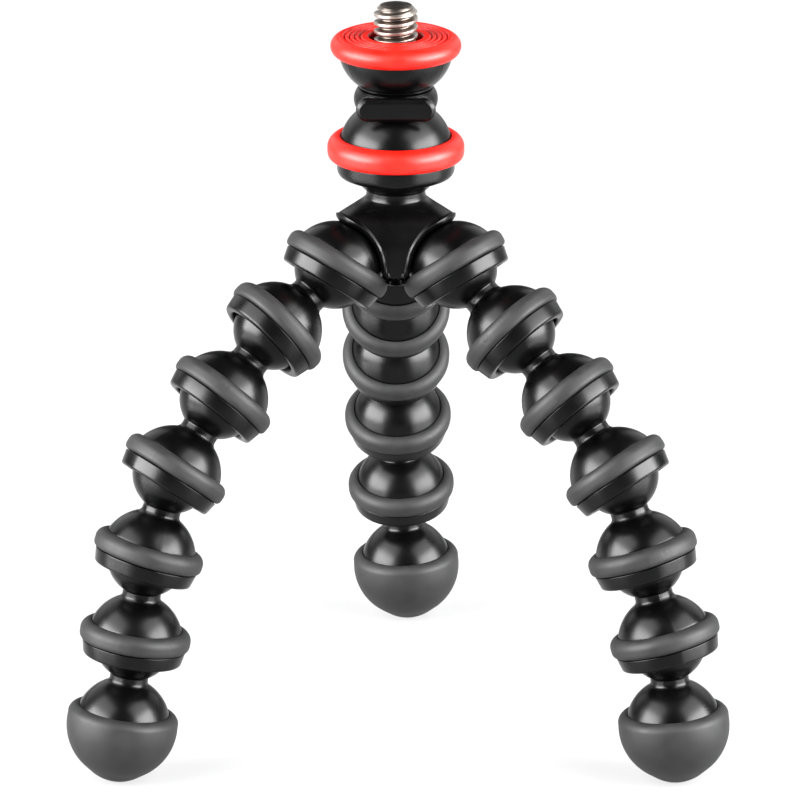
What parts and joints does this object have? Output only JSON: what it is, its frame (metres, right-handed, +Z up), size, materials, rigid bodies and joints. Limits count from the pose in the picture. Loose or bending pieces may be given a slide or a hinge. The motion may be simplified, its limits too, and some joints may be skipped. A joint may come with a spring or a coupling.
{
  "type": "flexible leg tripod",
  "caption": "Small camera tripod with three legs of ball-jointed links, rubber rings and feet, a ball head, a locking ring and a screw stud.",
  "frame": {"origin": "point on the floor under the tripod's own axis, level with the soles of the three rubber feet", "axes": "+Z up along the hub and head to the camera screw, -Y towards the front, where the locking ring's tab faces, and +Y along the rear leg"},
  "size_m": [0.0965, 0.0857, 0.1108],
  "materials": {
    "black_plastic": "glossy moulded black plastic",
    "grey_rubber": "satin dark grey rubber",
    "red_rubber": "satin red rubber",
    "steel": "bright rolled steel thread"
  },
  "bodies": {
    "hub": {"hub_cover": "black_plastic", "hub_core": "black_plastic"},
    "head_tilt": {"head_ring": "red_rubber"},
    "head": {"head_socket": "black_plastic", "camera_screw": "steel"},
    "locking_ring": {"lock_ring": "black_plastic"},
    "camera_platform": {"platform": "black_plastic", "camera_pad": "red_rubber"},
    "left_turn_1": {"left_ring_1": "grey_rubber"},
    "left_link_1": {"left_link_1": "black_plastic"},
    "left_turn_2": {"left_ring_2": "grey_rubber"},
    "left_link_2": {"left_link_2": "black_plastic"},
    "left_turn_3": {"left_ring_3": "grey_rubber"},
    "left_link_3": {"left_link_3": "black_plastic"},
    "left_turn_4": {"left_ring_4": "grey_rubber"},
    "left_link_4": {"left_link_4": "black_plastic"},
    "left_turn_5": {"left_ring_5": "grey_rubber"},
    "left_link_5": {"left_link_5": "black_plastic"},
    "left_turn_6": {"left_ring_6": "grey_rubber"},
    "left_foot": {"left_foot_core": "black_plastic", "left_foot_rubber": "grey_rubber"},
    "right_turn_1": {"right_ring_1": "grey_rubber"},
    "right_link_1": {"right_link_1": "black_plastic"},
    "right_turn_2": {"right_ring_2": "grey_rubber"},
    "right_link_2": {"right_link_2": "black_plastic"},
    "right_turn_3": {"right_ring_3": "grey_rubber"},
    "right_link_3": {"right_link_3": "black_plastic"},
    "right_turn_4": {"right_ring_4": "grey_rubber"},
    "right_link_4": {"right_link_4": "black_plastic"},
    "right_turn_5": {"right_ring_5": "grey_rubber"},
    "right_link_5": {"right_link_5": "black_plastic"},
    "right_turn_6": {"right_ring_6": "grey_rubber"},
    "right_foot": {"right_foot_core": "black_plastic", "right_foot_rubber": "grey_rubber"},
    "rear_turn_1": {"rear_ring_1": "grey_rubber"},
    "rear_link_1": {"rear_link_1": "black_plastic"},
    "rear_turn_2": {"rear_ring_2": "grey_rubber"},
    "rear_link_2": {"rear_link_2": "black_plastic"},
    "rear_turn_3": {"rear_ring_3": "grey_rubber"},
    "rear_link_3": {"rear_link_3": "black_plastic"},
    "rear_turn_4": {"rear_ring_4": "grey_rubber"},
    "rear_link_4": {"rear_link_4": "black_plastic"},
    "rear_turn_5": {"rear_ring_5": "grey_rubber"},
    "rear_link_5": {"rear_link_5": "black_plastic"},
    "rear_turn_6": {"rear_ring_6": "grey_rubber"},
    "rear_foot": {"rear_foot_core": "black_plastic", "rear_foot_rubber": "grey_rubber"}
  },
  "joints": [
    {"name": "head_tilt", "type": "hinge", "parent": "hub", "child": "head_tilt", "pos_m": [0, 0, 0.08815], "axis": [1, 0, 0], "range_deg": [-22, 22]},
    {"name": "head_pan", "type": "hinge", "parent": "head_tilt", "child": "head", "pos_m": [0, 0, 0.08815], "axis": [0, 0, 1], "range_deg": [-180, 180]},
    {"name": "lock_turn", "type": "hinge", "parent": "head", "child": "locking_ring", "pos_m": [0, 0, 0.09475], "axis": [0, 0, 1], "range_deg": [0, 270.1]},
    {"name": "platform_rise", "type": "slide", "parent": "head", "child": "camera_platform", "axis": [0, 0, 1], "range_m": [0, 0.00075]},
    {"name": "left_bend_1", "type": "hinge", "parent": "left_turn_1", "child": "left_link_1", "pos_m": [-0.00888, -0.00513, 0.07235], "axis": [0.5, -0.866, 0], "range_deg": [-15.7, 50.3]},
    {"name": "left_bend_2", "type": "hinge", "parent": "left_turn_2", "child": "left_link_2", "pos_m": [-0.01769, -0.01021, 0.06468], "axis": [0.5, -0.866, 0], "range_deg": [-41.3, 24.7]},
    {"name": "left_bend_3", "type": "hinge", "parent": "left_turn_3", "child": "left_link_3", "pos_m": [-0.02545, -0.01469, 0.05563], "axis": [0.5, -0.866, 0], "range_deg": [-39.7, 26.3]},
    {"name": "left_bend_4", "type": "hinge", "parent": "left_turn_4", "child": "left_link_4", "pos_m": [-0.03225, -0.01862, 0.04559], "axis": [0.5, -0.866, 0], "range_deg": [-51.2, 14.8]},
    {"name": "left_bend_5", "type": "hinge", "parent": "left_turn_5", "child": "left_link_5", "pos_m": [-0.03598, -0.02077, 0.0336], "axis": [0.5, -0.866, 0], "range_deg": [-42.6, 23.4]},
    {"name": "left_bend_6", "type": "hinge", "parent": "left_turn_6", "child": "left_foot", "pos_m": [-0.03794, -0.0219, 0.02106], "axis": [0.5, -0.866, 0], "range_deg": [-33.2, 32.8]},
    {"name": "right_bend_1", "type": "hinge", "parent": "right_turn_1", "child": "right_link_1", "pos_m": [0.00888, -0.00513, 0.07235], "axis": [0.5, 0.866, 0], "range_deg": [-19.23, 46.77]},
    {"name": "right_bend_2", "type": "hinge", "parent": "right_turn_2", "child": "right_link_2", "pos_m": [0.01727, -0.00997, 0.06407], "axis": [0.5, 0.866, 0], "range_deg": [-36.47, 29.53]},
    {"name": "right_bend_3", "type": "hinge", "parent": "right_turn_3", "child": "right_link_3", "pos_m": [0.0252, -0.01455, 0.05522], "axis": [0.5, 0.866, 0], "range_deg": [-39.9, 26.1]},
    {"name": "right_bend_4", "type": "hinge", "parent": "right_turn_4", "child": "right_link_4", "pos_m": [0.03216, -0.01857, 0.04533], "axis": [0.5, 0.866, 0], "range_deg": [-52.1, 13.9]},
    {"name": "right_bend_5", "type": "hinge", "parent": "right_turn_5", "child": "right_link_5", "pos_m": [0.03593, -0.02075, 0.03336], "axis": [0.5, 0.866, 0], "range_deg": [-35.8, 30.2]},
    {"name": "right_bend_6", "type": "hinge", "parent": "right_turn_6", "child": "right_foot", "pos_m": [0.0392, -0.02263, 0.02119], "axis": [0.5, 0.866, 0], "range_deg": [-43.6, 22.4]},
    {"name": "rear_bend_1", "type": "hinge", "parent": "rear_turn_1", "child": "rear_link_1", "pos_m": [0, 0.01025, 0.07235], "axis": [-1, 0, 0], "range_deg": [-18.71, 47.29]},
    {"name": "rear_bend_2", "type": "hinge", "parent": "rear_turn_2", "child": "rear_link_2", "pos_m": [0, 0.02001, 0.06416], "axis": [-1, 0, 0], "range_deg": [-37.49, 28.51]},
    {"name": "rear_bend_3", "type": "hinge", "parent": "rear_turn_3", "child": "rear_link_3", "pos_m": [0, 0.0291, 0.05523], "axis": [-1, 0, 0], "range_deg": [-41, 25]},
    {"name": "rear_bend_4", "type": "hinge", "parent": "rear_turn_4", "child": "rear_link_4", "pos_m": [0, 0.03685, 0.04512], "axis": [-0.9945, -0.0829, -0.0636], "range_deg": [-46, 20]},
    {"name": "rear_bend_5", "type": "hinge", "parent": "rear_turn_5", "child": "rear_link_5", "pos_m": [0.0003, 0.04215, 0.03354], "axis": [-0.9945, -0.0829, -0.0636], "range_deg": [-42.5, 23.5]},
    {"name": "rear_bend_6", "type": "hinge", "parent": "rear_turn_6", "child": "rear_foot", "pos_m": [0.00081, 0.04547, 0.02125], "axis": [-0.9945, -0.0829, -0.0636], "range_deg": [-45.5, 20.5]},
    {"name": "left_turn_1", "type": "hinge", "parent": "hub", "child": "left_turn_1", "pos_m": [-0.00888, -0.00513, 0.07235], "axis": [0.5054, 0.2918, 0.8121], "range_deg": [-180, 180]},
    {"name": "left_turn_2", "type": "hinge", "parent": "left_link_1", "child": "left_turn_2", "pos_m": [-0.01769, -0.01021, 0.06468], "axis": [0.6916, 0.3993, 0.6018], "range_deg": [-180, 180]},
    {"name": "left_turn_3", "type": "hinge", "parent": "left_link_2", "child": "left_turn_3", "pos_m": [-0.02545, -0.01469, 0.05563], "axis": [0.6092, 0.3517, 0.7108], "range_deg": [-180, 180]},
    {"name": "left_turn_4", "type": "hinge", "parent": "left_link_3", "child": "left_turn_4", "pos_m": [-0.03225, -0.01862, 0.04559], "axis": [0.5332, 0.3078, 0.788], "range_deg": [-180, 180]},
    {"name": "left_turn_5", "type": "hinge", "parent": "left_link_4", "child": "left_turn_5", "pos_m": [-0.03598, -0.02077, 0.0336], "axis": [0.2934, 0.1694, 0.9409], "range_deg": [-180, 180]},
    {"name": "left_turn_6", "type": "hinge", "parent": "left_link_5", "child": "left_turn_6", "pos_m": [-0.03794, -0.0219, 0.02106], "axis": [0.1534, 0.0885, 0.9842], "range_deg": [-180, 180]},
    {"name": "right_turn_1", "type": "hinge", "parent": "hub", "child": "right_turn_1", "pos_m": [0.00888, -0.00513, 0.07235], "axis": [-0.5054, 0.2918, 0.8121], "range_deg": [-180, 180]},
    {"name": "right_turn_2", "type": "hinge", "parent": "right_link_1", "child": "right_turn_2", "pos_m": [0.01727, -0.00997, 0.06407], "axis": [-0.6582, 0.38, 0.6499], "range_deg": [-180, 180]},
    {"name": "right_turn_3", "type": "hinge", "parent": "right_link_2", "child": "right_turn_3", "pos_m": [0.0252, -0.01455, 0.05522], "axis": [-0.623, 0.3597, 0.6947], "range_deg": [-180, 180]},
    {"name": "right_turn_4", "type": "hinge", "parent": "right_link_3", "child": "right_turn_4", "pos_m": [0.03216, -0.01857, 0.04533], "axis": [-0.5462, 0.3153, 0.776], "range_deg": [-180, 180]},
    {"name": "right_turn_5", "type": "hinge", "parent": "right_link_4", "child": "right_turn_5", "pos_m": [0.03593, -0.02075, 0.03336], "axis": [-0.2962, 0.171, 0.9397], "range_deg": [-180, 180]},
    {"name": "right_turn_6", "type": "hinge", "parent": "right_link_5", "child": "right_turn_6", "pos_m": [0.0392, -0.02263, 0.02119], "axis": [-0.2561, 0.1479, 0.9553], "range_deg": [-180, 180]},
    {"name": "rear_turn_1", "type": "hinge", "parent": "hub", "child": "rear_turn_1", "pos_m": [0, 0.01025, 0.07235], "axis": [0, -0.5835, 0.8121], "range_deg": [-180, 180]},
    {"name": "rear_turn_2", "type": "hinge", "parent": "rear_link_1", "child": "rear_turn_2", "pos_m": [0, 0.02001, 0.06416], "axis": [0, -0.7659, 0.643], "range_deg": [-180, 180]},
    {"name": "rear_turn_3", "type": "hinge", "parent": "rear_link_2", "child": "rear_turn_3", "pos_m": [0, 0.0291, 0.05523], "axis": [0, -0.7133, 0.7009], "range_deg": [-180, 180]},
    {"name": "rear_turn_4", "type": "hinge", "parent": "rear_link_3", "child": "rear_turn_4", "pos_m": [0, 0.03685, 0.04512], "axis": [0, -0.6088, 0.7934], "range_deg": [-180, 180]},
    {"name": "rear_turn_5", "type": "hinge", "parent": "rear_link_4", "child": "rear_turn_5", "pos_m": [0.0003, 0.04215, 0.03354], "axis": [-0.0235, -0.4157, 0.9092], "range_deg": [-180, 180]},
    {"name": "rear_turn_6", "type": "hinge", "parent": "rear_link_5", "child": "rear_turn_6", "pos_m": [0.00081, 0.04547, 0.02125], "axis": [-0.04, -0.2605, 0.9646], "range_deg": [-180, 180]}
  ],
  "couplings": [
    {"joint": "lock_turn", "follows": "platform_rise", "rad_per_m": 6283.2}
  ]
}
